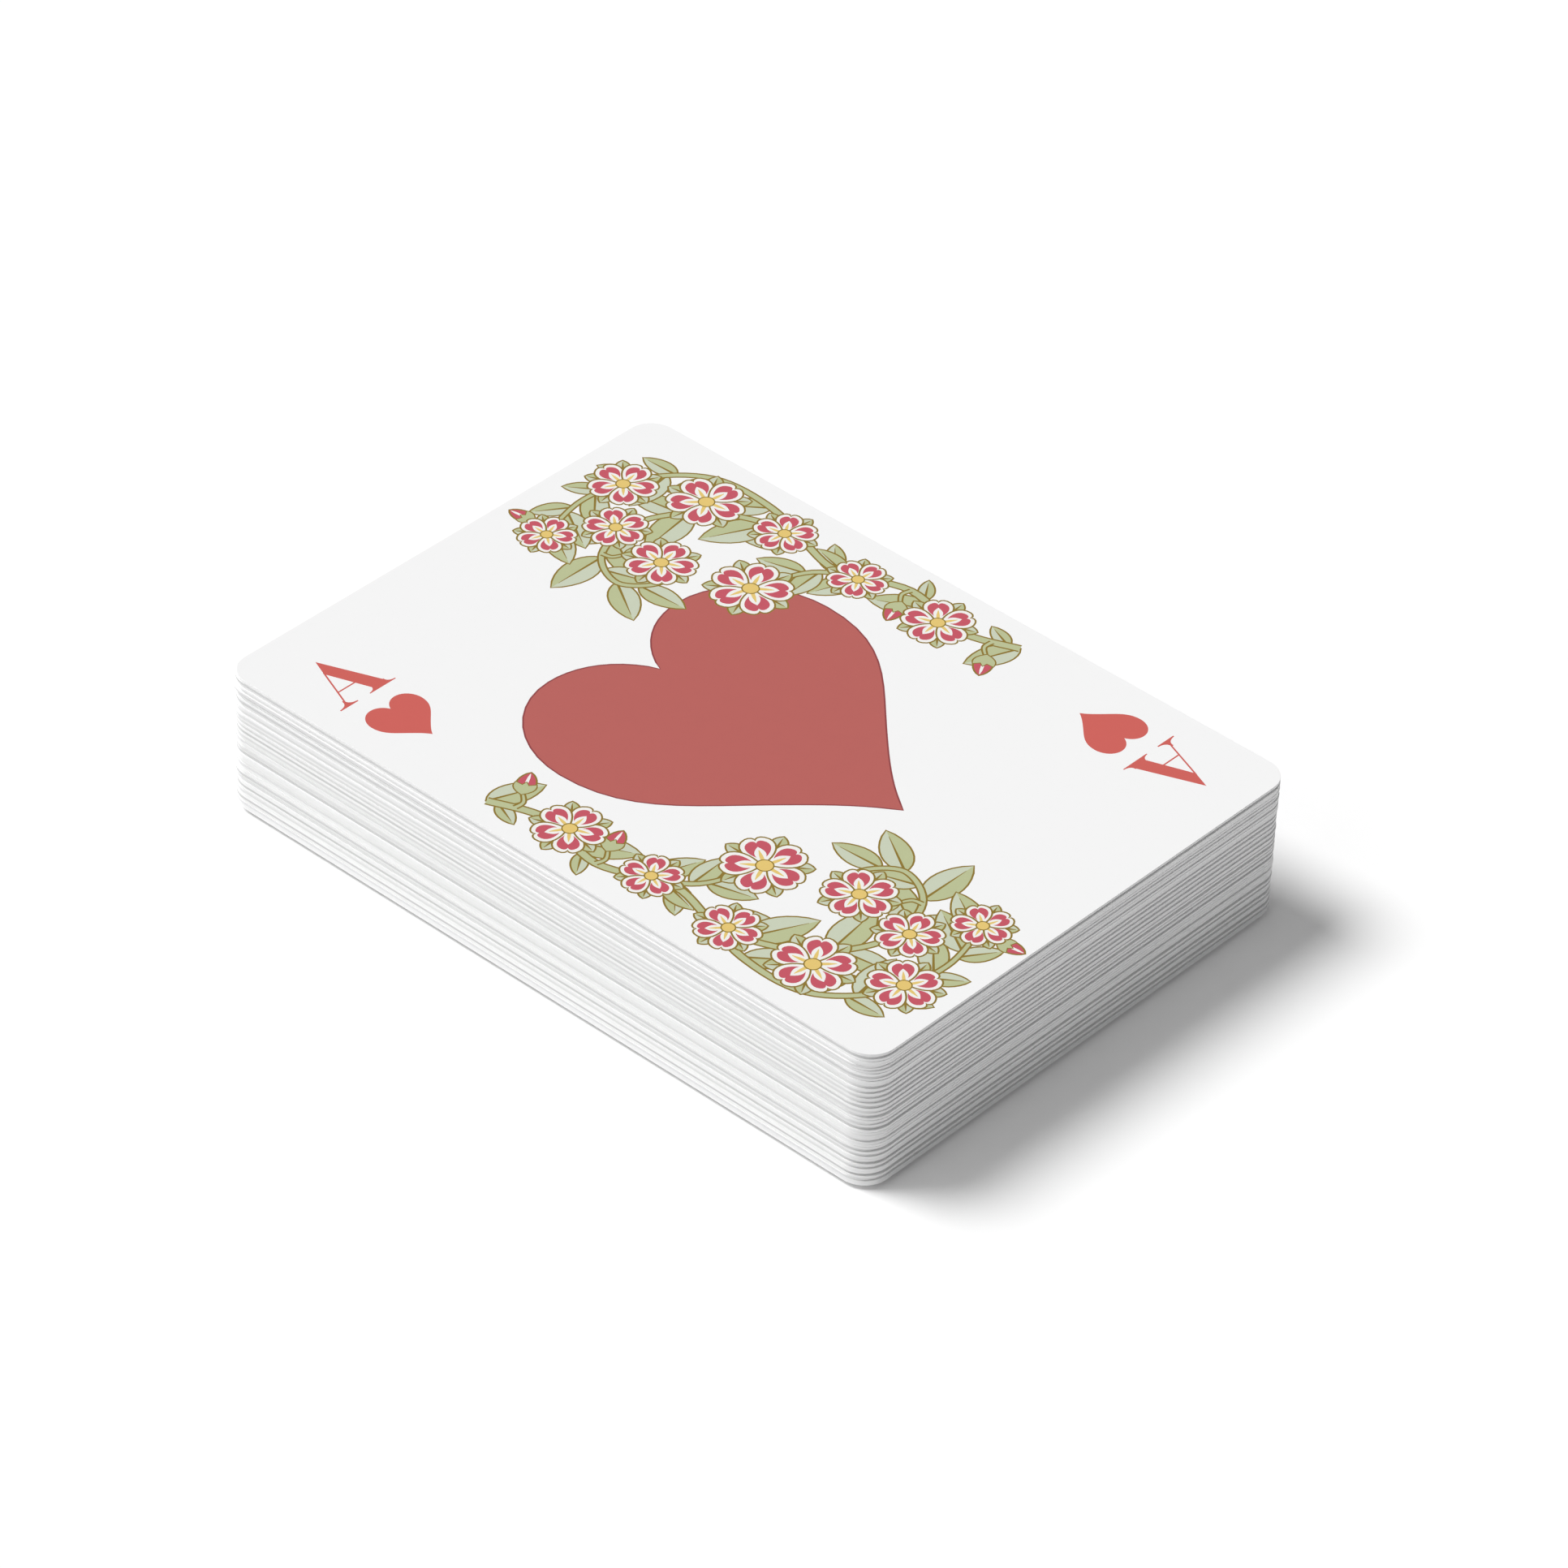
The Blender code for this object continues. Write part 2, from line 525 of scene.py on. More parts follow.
class Lettering:
    """A high-contrast roman face for the indices.

    Attributes:
        HAIR: pen width at the top and bottom of a bowl.
        STEM: pen width at its sides.
        BOWL_STEPS: pieces in a bowl.
        BOWL_SWELL: power by which the pen widens towards its sides.
        NINE_AT: where a six turned upside down stands as a nine.
        LOW_HOOK: the end of the stroke of a three and a five.
        SIX: the six.
        GLYPHS: every character but the nine by its rank.
    """

    HAIR = 0.02
    STEM = 0.19
    BOWL_STEPS = 40
    BOWL_SWELL = 1.5
    NINE_AT = 0.62 + 1j
    LOW_HOOK = ((0.53, 0.28, 0.19), (0.46, 0.09, 0.11), (0.29, 0.015, 0.03), (0.12, 0.07, 0.03),
                (0.05, 0.21, 0.05))
    SIX = Glyph(
        strokes=(
            ((0.50, 0.86, 0.05), (0.42, 0.97, 0.03), (0.28, 0.93, 0.05), (0.14, 0.72, 0.14),
             (0.10, 0.44, 0.19), (0.13, 0.25, 0.17)),
        ),
        balls=((0.48, 0.86, 0.07),),
        bowls=((0.32, 0.31, 0.24, 0.30),),
    )
    GLYPHS = {
        Rank.ACE: Glyph(
            strokes=(
                ((-0.083, 0.76, 0.025), (-0.345, 0.09, 0.025)),
                ((-0.26, 0.32, 0.024), (0.07, 0.32, 0.024)),
            ),
            blocks=((0.006 + 1.005j, 0.383 + 0.09j, 0.141 + 0.09j, -0.102 + 0.735j),),
            feet=(
                Foot(-0.515, -0.360, -0.330, -0.190, rise=0.14),
                Foot(0.030, 0.147, 0.385, 0.508, rise=0.115),
            ),
        ),
        Rank.TWO: Glyph(
            strokes=(
                ((0.07, 0.74, 0.06), (0.14, 0.91, 0.04), (0.31, 0.985, 0.03), (0.49, 0.87, 0.14),
                 (0.50, 0.67, 0.19), (0.32, 0.38, 0.09), (0.05, 0.09, 0.03)),
                ((0.03, 0.055, 0.11), (0.56, 0.055, 0.11)),
                ((0.56, 0.01, 0.025), (0.60, 0.24, 0.025)),
            ),
            balls=((0.10, 0.74, 0.08),),
        ),
        Rank.THREE: Glyph(
            strokes=(
                ((0.07, 0.80, 0.05), (0.15, 0.94, 0.03), (0.30, 0.985, 0.03), (0.46, 0.90, 0.12),
                 (0.48, 0.74, 0.17), (0.40, 0.60, 0.08), (0.22, 0.53, 0.025)),
                ((0.22, 0.53, 0.025), (0.44, 0.47, 0.08), *LOW_HOOK),
            ),
            balls=((0.10, 0.80, 0.07), (0.09, 0.21, 0.08)),
        ),
        Rank.FOUR: Glyph(
            strokes=(
                ((0.42, 0.99, 0.03), (0.01, 0.29, 0.03)),
                ((0.00, 0.285, 0.035), (0.66, 0.285, 0.035)),
            ),
            blocks=((0.355 + 0.09j, 0.535 + 0.09j, 0.535 + 1j, 0.42 + 1j, 0.355 + 0.86j),),
            feet=(Foot(0.22, 0.355, 0.535, 0.66),),
        ),
        Rank.FIVE: Glyph(
            strokes=(
                ((0.12, 0.92, 0.12), (0.36, 0.925, 0.10), (0.53, 0.95, 0.12)),
                ((0.12, 0.97, 0.03), (0.10, 0.50, 0.03)),
                ((0.10, 0.50, 0.03), (0.20, 0.60, 0.03), (0.35, 0.61, 0.06), (0.52, 0.48, 0.16),
                 *LOW_HOOK),
            ),
            balls=((0.09, 0.21, 0.08),),
        ),
        Rank.SIX: SIX,
        Rank.SEVEN: Glyph(
            strokes=(
                ((0.03, 0.93, 0.13), (0.30, 0.92, 0.12), (0.58, 0.93, 0.13)),
                ((0.04, 0.98, 0.03), (0.01, 0.74, 0.03)),
                ((0.57, 0.95, 0.03), (0.43, 0.62, 0.08), (0.31, 0.32, 0.17), (0.26, 0.0, 0.20)),
            ),
        ),
        Rank.EIGHT: Glyph(bowls=((0.31, 0.755, 0.19, 0.225), (0.31, 0.27, 0.245, 0.26))),
        Rank.TEN: Glyph(
            strokes=(((0.00, 0.85, 0.025), (0.14, 0.985, 0.03)),),
            blocks=((0.09 + 0.09j, 0.27 + 0.09j, 0.27 + 1j, 0.12 + 1j, 0.09 + 0.95j),),
            feet=(Foot(-0.03, 0.09, 0.27, 0.39),),
            bowls=((0.72, 0.5, 0.24, 0.485),),
        ),
        Rank.JACK: Glyph(
            strokes=(
                ((0.39, 0.30, 0.19), (0.36, 0.10, 0.14), (0.22, 0.01, 0.03), (0.10, 0.06, 0.04),
                 (0.05, 0.17, 0.05)),
            ),
            blocks=((0.295 + 0.27j, 0.485 + 0.27j, 0.485 + 0.91j, 0.295 + 0.91j),),
            feet=(Foot(0.15, 0.295, 0.485, 0.61, base=1.0, rise=-0.11),),
            balls=((0.09, 0.18, 0.085),),
        ),
        Rank.QUEEN: Glyph(
            strokes=(
                ((0.34, 0.15, 0.03), (0.46, 0.13, 0.08), (0.58, -0.04, 0.15), (0.72, -0.16, 0.07),
                 (0.84, -0.11, 0.025)),
            ),
            bowls=((0.42, 0.5, 0.36, 0.485),),
        ),
        Rank.KING: Glyph(
            strokes=(((0.22, 0.40, 0.03), (0.68, 0.97, 0.03)),),
            blocks=(
                (0.10 + 0.09j, 0.29 + 0.09j, 0.29 + 0.91j, 0.10 + 0.91j),
                (0.54 + 0.09j, 0.76 + 0.09j, 0.48 + 0.735j, 0.365 + 0.59j),
            ),
            feet=(
                Foot(-0.03, 0.10, 0.29, 0.42),
                Foot(-0.03, 0.10, 0.29, 0.42, base=1.0, rise=-0.11),
                Foot(0.43, 0.54, 0.76, 0.88),
                Foot(0.52, 0.645, 0.675, 0.82, base=1.0, rise=-0.09),
            ),
        ),
    }

    @classmethod
    def drawing(cls, rank: Rank, height: float, widest: float, ink: Ink) -> Drawing:
        """One index character, on its base line and centred left to right.

        Args:
            rank: the rank.
            height: cap height in millimetres.
            widest: width that a broad character is squeezed into.
            ink: the ink.

        Returns:
            The printed character.
        """
        if rank is Rank.NINE:
            raw = Drawing()
            raw.place(cls.raw(cls.SIX, ink), at=cls.NINE_AT, turn=HALF_TURN)
        else:
            raw = cls.raw(cls.GLYPHS[rank], ink)
        reach = [point.real for patch in raw.patches for point in patch.outline]
        middle = (min(reach) + max(reach)) / 2
        squeeze = min(1.0, widest / height / (max(reach) - min(reach)))
        sized = Drawing()
        for patch in raw.patches:
            points = [complex((p.real - middle) * squeeze, p.imag) * height for p in patch.outline]
            sized.fill(points, ink)
        return sized

    @classmethod
    def raw(cls, glyph: Glyph, ink: Ink) -> Drawing:
        """A character a unit high.

        Args:
            glyph: the character.
            ink: the ink.

        Returns:
            The printed character.
        """
        page = Drawing()
        for knots in glyph.strokes:
            path = through([complex(x, y) for x, y, _ in knots])
            page.stroke(path, through([width for _, _, width in knots]), ink)
        for block in glyph.blocks:
            page.fill(block, ink)
        for foot in glyph.feet:
            page.fill(foot.outline(), ink)
        for x, y, radius in glyph.balls:
            page.disc(complex(x, y), radius, ink)
        for x, y, half_width, half_height in glyph.bowls:
            path = ring(complex(x, y), complex(half_width, half_height), cls.BOWL_STEPS)
            weights = [abs((p.real - x) / half_width) ** cls.BOWL_SWELL for p in path]
            widths = [cls.HAIR + (cls.STEM - cls.HAIR) * weight for weight in weights]
            page.stroke([*path, path[0]], [*widths, widths[0]], ink)
        return page


class Flora:
    """Plain garden ornament: oval leaves, five-petalled blossoms, buds and stems.

    A blossom's own parts are measured in its radius, and other widths in millimetres.

    Attributes:
        EYE_LINE: line round a blossom's eye.
        CUP_LINE: line round a bud's cup.
        RIB: (share of the length, width) along a leaf's rib.
        PETALS: petals of a blossom.
        SEPAL: length and width of a sepal.
        SEPAL_AT: how far out a sepal starts.
        BLUSH_MIDDLE: middle of the blush on a petal.
        BLUSH_SHARE: size of the blush as a share of the petal.
        DROP: (how far out, width) along the yellow drop on a petal.
        EYE: radius of the eye.
        EYE_STEPS: pieces in its rim.
        BUD_GLINT: (share of the length, width) along the glint on a bud.
        STEM_TAPER: share of its width that a stem loses by its tip.
    """

    EYE_LINE = 0.7 * Drawing.OLIVE_LINE
    CUP_LINE = 0.8 * Drawing.OLIVE_LINE
    RIB = ((0.0, 0.30), (0.45, 0.22), (0.86, 0.06))
    PETALS = 5
    SEPAL = 0.46 + 0.36j
    SEPAL_AT = 0.66
    BLUSH_MIDDLE = 0.57
    BLUSH_SHARE = 0.76
    DROP = ((0.2, 0.10), (0.36, 0.09), (0.56, 0.02))
    EYE = 0.19
    EYE_STEPS = 18
    BUD_GLINT = ((0.5, 0.34), (0.75, 0.30), (0.95, 0.08))
    STEM_TAPER = 0.55

    @classmethod
    def leaf(cls, length: float, width: float) -> Drawing:
        """A pointed oval leaf along +x, one half paler than the other.

        Args:
            length: from its root to its tip.
            width: across its middle.

        Returns:
            The printed leaf, its root at the origin.
        """
        half = [
            *bezier(0j, length * 0.16 + width * 0.62j, length * 0.62 + width * 0.72j, length + 0j),
            length + 0j,
        ]
        leaf = Drawing()
        leaf.lined(mirrored(half), Ink.LEAF)
        leaf.fill(half, Ink.LEAF_PALE)
        rib = [complex(length * share) for share, _ in cls.RIB]
        leaf.stroke(rib, [width for _, width in cls.RIB], Ink.OLIVE)
        return leaf

    @classmethod
    def petal(cls) -> list[complex]:
        """A petal along +x with a notch in its rim, a unit long from the flower's middle.

        Returns:
            Its outline.
        """
        return mirrored([
            *bezier(0.10 + 0j, 0.34 + 0.36j, 0.78 + 0.56j, 0.97 + 0.22j, 9),
            *bezier(0.97 + 0.22j, 1.03 + 0.11j, 0.98 + 0.03j, 0.89 + 0j, 4),
            0.89 + 0j,
        ])

    @classmethod
    def blossom(cls, radius: float) -> Drawing:
        """An open flower with five white-edged petals and a straw-yellow eye.

        Args:
            radius: from its middle to the ends of its petals.

        Returns:
            The printed flower, its middle at the origin.
        """
        blush = [cls.BLUSH_MIDDLE + cls.BLUSH_SHARE * (p - cls.BLUSH_MIDDLE) for p in cls.petal()]
        flame = mirrored([*bezier(0.16 + 0j, 0.34 + 0.19j, 0.50 + 0.17j, 0.68 + 0j, 7), 0.68 + 0j])
        drop = [width * radius for _, width in cls.DROP]
        flower = Drawing()
        turns = [cmath.rect(radius, math.tau * k / cls.PETALS) for k in range(cls.PETALS)]
        between = cmath.rect(1.0, math.tau / (2 * cls.PETALS))
        sepal = cls.leaf(cls.SEPAL.real * radius, cls.SEPAL.imag * radius)
        for turn in turns:
            direction = turn * between / radius
            flower.place(sepal, at=cls.SEPAL_AT * turn * between, turn=direction)
        for turn in turns:
            flower.lined([p * turn for p in cls.petal()], Ink.CHALK)
        for outline, ink in ((blush, Ink.ROSE), (flame, Ink.CHALK)):
            for turn in turns:
                flower.fill([p * turn for p in outline], ink)
        for turn in turns:
            flower.stroke([place * turn for place, _ in cls.DROP], drop, Ink.STRAW)
        flower.disc(0j, cls.EYE * radius + cls.EYE_LINE, Ink.OLIVE, cls.EYE_STEPS)
        flower.disc(0j, cls.EYE * radius, Ink.STRAW, cls.EYE_STEPS)
        return flower

    @classmethod
    def bud(cls, length: float) -> Drawing:
        """A closed bud along +x in its green cup.

        Args:
            length: from its stalk to its tip.

        Returns:
            The printed bud, its stalk's end at the origin.
        """
        swell = 0.55 * length
        petal = mirrored([
            *bezier(0.1j * length, 0.3 * length + swell * 0.8j, 0.8 * length + swell * 0.5j,
                    length + 0j, 8),
            length + 0j,
        ])
        cup = mirrored([
            -0.12 * length + 0j,
            *bezier(0.18j * length, 0.2 * length + 0.42j * length, 0.36 * length + 0.36j * length,
                    0.56 * length + 0.30j * length, 5),
            0.34 * length + 0.1j * length,
            0.50 * length + 0j,
        ])
        bud = Drawing()
        bud.lined(petal, Ink.ROSE)
        glint = [share * length + 0j for share, _ in cls.BUD_GLINT]
        bud.stroke(glint, [width for _, width in cls.BUD_GLINT], Ink.CHALK)
        bud.lined(cup, Ink.LEAF, cls.CUP_LINE)
        return bud

    @classmethod
    def stems(cls, page: Drawing, runs: Sequence[tuple[Sequence[complex], float]]) -> None:
        """Draw green stems with an olive line along both sides.

        Args:
            page: the drawing to add to.
            runs: each a smooth run and its width at the root.
        """
        for ink, extra in ((Ink.OLIVE, 2 * Drawing.OLIVE_LINE), (Ink.LEAF, 0.0)):
            for run, width in runs:
                shares = [1 - cls.STEM_TAPER * k / len(run) for k in range(len(run))]
                page.stroke(run, [width * share + extra for share in shares], ink)


@dataclass(frozen=True)
class Spray:
    """A climbing spray for one end of an ace.

    Attributes:
        stems: knots of each stem from its root, with its width.
        leaves: (stem, share of its length, side, length) of each leaf.
        buds: (stem, share of its length, side, length) of each bud.
        blossoms: (middle, radius, turn in degrees) of each flower.
        leaf_lean: how far a leaf leans from its stem, in degrees.
        leaf_breadth: its breadth as a share of its length.
        bud_lean: how far a bud's stalk leans from the stem, in degrees.
        stalk_curl: how much farther the stalk's end leans.
        stalk_reach: how far the stalk's middle and end lie from the stem.
        stalk_width: width of the stalk.
    """

    stems: tuple[tuple[tuple[complex, ...], float], ...] = (
        ((28.2 - 10.5j, 26.0 - 4.0j, 27.8 + 4.0j, 25.0 + 12.0j, 26.6 + 20.0j, 23.2 + 28.0j,
          16.6 + 32.2j, 10.0 + 31.0j, 7.4 + 26.4j, 10.6 + 23.2j, 13.4 + 25.4j), 0.85),
        ((26.0 + 17.0j, 28.4 + 24.0j, 28.0 + 32.0j, 22.6 + 37.4j, 15.6 + 39.0j, 9.0 + 37.6j), 0.75),
        ((26.6 + 8.2j, 23.0 + 13.4j, 17.0 + 15.8j), 0.65),
    )
    leaves: tuple[tuple[int, float, int, float], ...] = (
        (0, 0.00, 1, 6.4), (0, 0.03, -1, 3.6), (0, 0.16, 1, 7.2), (0, 0.18, -1, 3.4),
        (0, 0.27, 1, 6.4), (0, 0.31, -1, 4.4), (0, 0.37, 1, 7.6), (0, 0.43, 1, 8.0),
        (0, 0.47, -1, 6.0), (0, 0.53, 1, 8.0), (0, 0.545, -1, 6.4), (0, 0.64, -1, 6.4),
        (0, 0.66, 1, 7.6), (0, 0.72, -1, 7.4), (0, 0.76, 1, 5.6), (0, 0.80, -1, 6.6),
        (0, 0.86, -1, 6.0),
        (1, 0.22, 1, 6.4), (1, 0.36, 1, 6.6), (1, 0.50, -1, 4.6), (1, 0.53, 1, 6.8),
        (1, 0.60, -1, 5.0), (1, 0.74, -1, 4.2), (1, 0.77, 1, 6.2), (1, 0.86, -1, 4.6),
        (1, 0.88, 1, 6.6), (1, 0.985, 1, 6.4),
        (2, 0.30, -1, 5.2), (2, 0.45, 1, 5.4), (2, 0.62, -1, 5.4),
    )
    buds: tuple[tuple[int, float, int, float], ...] = (
        (0, 0.06, 1, 3.2), (0, 0.205, 1, 3.2), (0, 0.70, 1, 3.2), (1, 0.985, -1, 2.8),
    )
    blossoms: tuple[tuple[complex, float, float], ...] = (
        (16.4 + 16.0j, 4.4, 20.0),
        (24.4 + 29.6j, 4.2, 64.0),
        (13.2 + 25.6j, 3.8, 8.0),
        (25.6 - 1.6j, 3.8, 40.0),
        (20.6 + 38.0j, 3.7, 80.0),
        (26.0 + 20.0j, 3.4, 30.0),
        (14.4 + 33.2j, 3.4, 50.0),
        (8.4 + 37.4j, 3.1, 16.0),
        (25.4 + 9.2j, 3.2, 66.0),
    )
    leaf_lean: float = 46.0
    leaf_breadth: float = 0.46
    bud_lean: float = 69.0
    stalk_curl: float = 1.4
    stalk_reach: tuple[float, float] = (1.2, 2.6)
    stalk_width: float = 0.4

    def drawing(self) -> Drawing:
        """The spray at the right-hand end of the card.

        Returns:
            The printed spray.
        """
        page = Drawing()
        runs = [(through(knots), width) for knots, width in self.stems]
        for stem, share, side, length in self.leaves:
            spot, heading = self.node_at(runs[stem][0], share)
            lean = cmath.rect(1.0, math.radians(side * self.leaf_lean))
            page.place(Flora.leaf(length, self.leaf_breadth * length), spot, heading * lean)
        Flora.stems(page, runs)
        for stem, share, side, length in self.buds:
            spot, heading = self.node_at(runs[stem][0], share)
            lean = cmath.rect(1.0, math.radians(side * self.bud_lean))
            curl = heading * lean**self.stalk_curl
            middle, end = self.stalk_reach
            stalk = through([spot, spot + heading * lean * middle, spot + curl * end])
            Flora.stems(page, [(stalk, self.stalk_width)])
            page.place(Flora.bud(length), stalk[-1], curl)
        for middle, radius, turn in self.blossoms:
            page.place(Flora.blossom(radius), middle, cmath.rect(1.0, math.radians(turn)))
        return page

    @staticmethod
    def node_at(run: Sequence[complex], share: float) -> tuple[complex, complex]:
        """Find a place on a stem.

        Args:
            run: the stem's points from its root.
            share: how far along it the place lies, from 0 to 1.

        Returns:
            The point there, and the way the stem runs there.
        """
        k = min(int(share * (len(run) - 1)), len(run) - 2)
        heading = run[k + 1] - run[k]
        return run[k], heading / abs(heading)


class Court:
    """Plain double-ended panels for the jack, queen and king, and the jokers' rosette.

    Sizes are in millimetres: a leaf's is its length and width, a blossom's or star's its radius.

    Attributes:
        PANEL: half width and half height of the panel.
        RULES: (inset, width) of the two lines round it.
        EMBLEM_AT: middle of the upper emblem.
        PIP: width of the suit sign.
        PIP_AT: middle of the upper sign.
        MIDDLE_LEAF: a leaf at the middle of the panel.
        MIDDLE_LEAF_AT: how far from the middle it starts.
        MIDDLE_LEAF_RISE: how steeply it rises.
        MIDDLE_BLOSSOM: the blossom at the middle.
        CROWN_BALL: half width and half height of a ball on the crown.
        CROWN_PEARL: half width and half height of a pearl on its band.
        CORONET_LEAF: a leaf of the coronet.
        CORONET_BLOSSOM: the blossom in front of it.
        FEATHER: the feather in the cap.
        FEATHER_TURN: its slope in degrees.
        CAP_BLOSSOM: the blossom on the cap.
        STAR_WAIST: inner radius of a star, as a share of its outer one.
        RAYS: leaves round the rosette.
        RAY_LEAF: one of them.
        RAY_AT: how far from the middle they start.
        DISCS: (radius, ink) of the rosette's discs.
        DISC_STEPS: pieces in their rims.
        ROSETTE_STAR: the star on the discs.
        ROSETTE_EYE: the blossom on the star.
        OUTER_BLOSSOM: a blossom above or below the rosette.
        OUTER_BLOSSOM_AT: how far from the middle it lies.
    """

    PANEL = 18.6 + 33.6j
    RULES = ((0.0, 0.36), (1.1, 0.16))
    EMBLEM_AT = 13.5j
    PIP = 7.0
    PIP_AT = -12.4 + 27.0j
    MIDDLE_LEAF = (9.0, 4.0)
    MIDDLE_LEAF_AT = 3.2
    MIDDLE_LEAF_RISE = 0.32
    MIDDLE_BLOSSOM = 4.4
    CROWN_BALL = 1.1 + 1.1j
    CROWN_PEARL = 1.0 + 1.0j
    CORONET_LEAF = (13.0, 6.4)
    CORONET_BLOSSOM = 5.2
    FEATHER = (17.0, 6.0)
    FEATHER_TURN = 58
    CAP_BLOSSOM = 3.0
    STAR_WAIST = 0.42
    RAYS = 10
    RAY_LEAF = (7.0, 3.2)
    RAY_AT = 9.4
    DISCS = ((11.4, Ink.OLIVE), (11.0, Ink.STRAW))
    DISC_STEPS = 48
    ROSETTE_STAR = 10.4
    ROSETTE_EYE = 3.2
    OUTER_BLOSSOM = 5.0
    OUTER_BLOSSOM_AT = 24.5

    @classmethod
    def panel(cls, ink: Ink) -> Drawing:
        """Two ruled lines round the panel.

        Args:
            ink: the outer line's ink.

        Returns:
            The printed lines.
        """
        page = Drawing()
        for (inset, width), colour in zip(cls.RULES, (ink, Ink.OLIVE)):
            x, y = cls.PANEL.real - inset, cls.PANEL.imag - inset
            corners = [complex(x, y), complex(-x, y), complex(-x, -y), complex(x, -y)]
            for a, b in sides(corners):
                reach = (b - a) / abs(b - a) * width / 2
                page.line([a - reach, b + reach], width, colour)
        return page

    @classmethod
    def crown(cls) -> Drawing:
        """A king's crown with five points.

        Returns:
            The printed crown.
        """
        page = Drawing()
        tips = [-11.5 + 7.5j, -5.8 + 9.6j, 0 + 10.8j, 5.8 + 9.6j, 11.5 + 7.5j]
        dips = [-7.0 + 1.8j, -2.6 + 2.6j, 2.6 + 2.6j, 7.0 + 1.8j]
        zigzag = [point for pair in zip(tips, dips) for point in pair]
        page.lined([-8.6 - 4j, *zigzag, tips[-1], 8.6 - 4j], Ink.STRAW)
        for tip in tips:
            page.lined(ring(tip, cls.CROWN_BALL, 14), Ink.ROSE)
        page.lined([-9 - 7j, 9 - 7j, 9 - 3.6j, -9 - 3.6j], Ink.ROSE)
        for x in (-6, -2, 2, 6):
            page.lined(ring(x - 5.3j, cls.CROWN_PEARL, 12), Ink.CHALK)
        return page

    @classmethod
    def coronet(cls) -> Drawing:
        """A queen's coronet of leaves with a blossom in front.

        Returns:
            The printed coronet.
        """
        page = Drawing()
        for degrees in (150, 30, 120, 60, 90):
            turn = cmath.rect(1.0, math.radians(degrees))
            page.place(Flora.leaf(*cls.CORONET_LEAF), -5j, turn)
        page.lined([-9 - 7j, 9 - 7j, 8.4 - 3.8j, -8.4 - 3.8j], Ink.STRAW)
        page.place(Flora.blossom(cls.CORONET_BLOSSOM), -0.6j, 1j)
        return page

    @classmethod
    def cap(cls) -> Drawing:
        """A jack's cap with a feather.

        Returns:
            The printed cap.
        """
        page = Drawing()
        feather = cmath.rect(1.0, math.radians(cls.FEATHER_TURN))
        page.place(Flora.leaf(*cls.FEATHER), -3 - 2j, feather)
        dome = [*bezier(9.5 - 3.6j, 9.5 + 5.5j, -6 + 9.5j, -9.5 - 3.6j, 14), -9.5 - 3.6j]
        page.lined(dome, Ink.ROSE)
        page.lined([-10.5 - 7j, 10.5 - 7j, 10 - 3.4j, -10 - 3.4j], Ink.LEAF)
        page.place(Flora.blossom(cls.CAP_BLOSSOM), -6 - 2.4j, 1j)
        return page

    @classmethod
    def drawing(cls, rank: Rank, suit: Suit) -> Drawing:
        """The whole panel of a court card.

        Args:
            rank: jack, queen or king.
            suit: the suit.

        Returns:
            The printed panel.
        """
        emblem = {Rank.KING: cls.crown, Rank.QUEEN: cls.coronet, Rank.JACK: cls.cap}[rank]()
        half = Drawing()
        half.place(emblem, cls.EMBLEM_AT)
        half.place(Pips.drawing(suit, cls.PIP), cls.PIP_AT)
        leaf = Flora.leaf(*cls.MIDDLE_LEAF)
        for side in (1, -1):
            half.place(leaf, cls.MIDDLE_LEAF_AT * side + 0j, complex(side, cls.MIDDLE_LEAF_RISE))
        page = cls.panel(suit.ink)
        page.place(half.twice())
        page.place(Flora.blossom(cls.MIDDLE_BLOSSOM))
        return page

    @classmethod
    def star(cls, radius: float, ink: Ink) -> Drawing:
        """A five-pointed star.

        Args:
            radius: from its middle to its points.
            ink: the ink.

        Returns:
            The printed star.
        """
        reaches = [radius, radius * cls.STAR_WAIST] * 5
        turns = [math.tau * k / len(reaches) + math.pi / 2 for k in range(len(reaches))]
        page = Drawing()
        page.fill([cmath.rect(reach, turn) for reach, turn in zip(reaches, turns)], ink)
        return page

    @classmethod
    def rosette(cls, ink: Ink) -> Drawing:
        """A joker's panel: a star in a ring of leaves, with a blossom above and below.

        Args:
            ink: ink of the star and of the outer line.

        Returns:
            The printed panel.
        """
        page = cls.panel(ink)
        for k in range(cls.RAYS):
            ray = cmath.rect(1.0, math.tau * k / cls.RAYS)
            page.place(Flora.leaf(*cls.RAY_LEAF), cls.RAY_AT * ray, ray)
        for radius, colour in cls.DISCS:
            page.disc(0j, radius, colour, cls.DISC_STEPS)
        page.place(cls.star(cls.ROSETTE_STAR, ink))
        page.place(Flora.blossom(cls.ROSETTE_EYE))
        for up in (1j, -1j):
            page.place(Flora.blossom(cls.OUTER_BLOSSOM), cls.OUTER_BLOSSOM_AT * up, up)
        return page


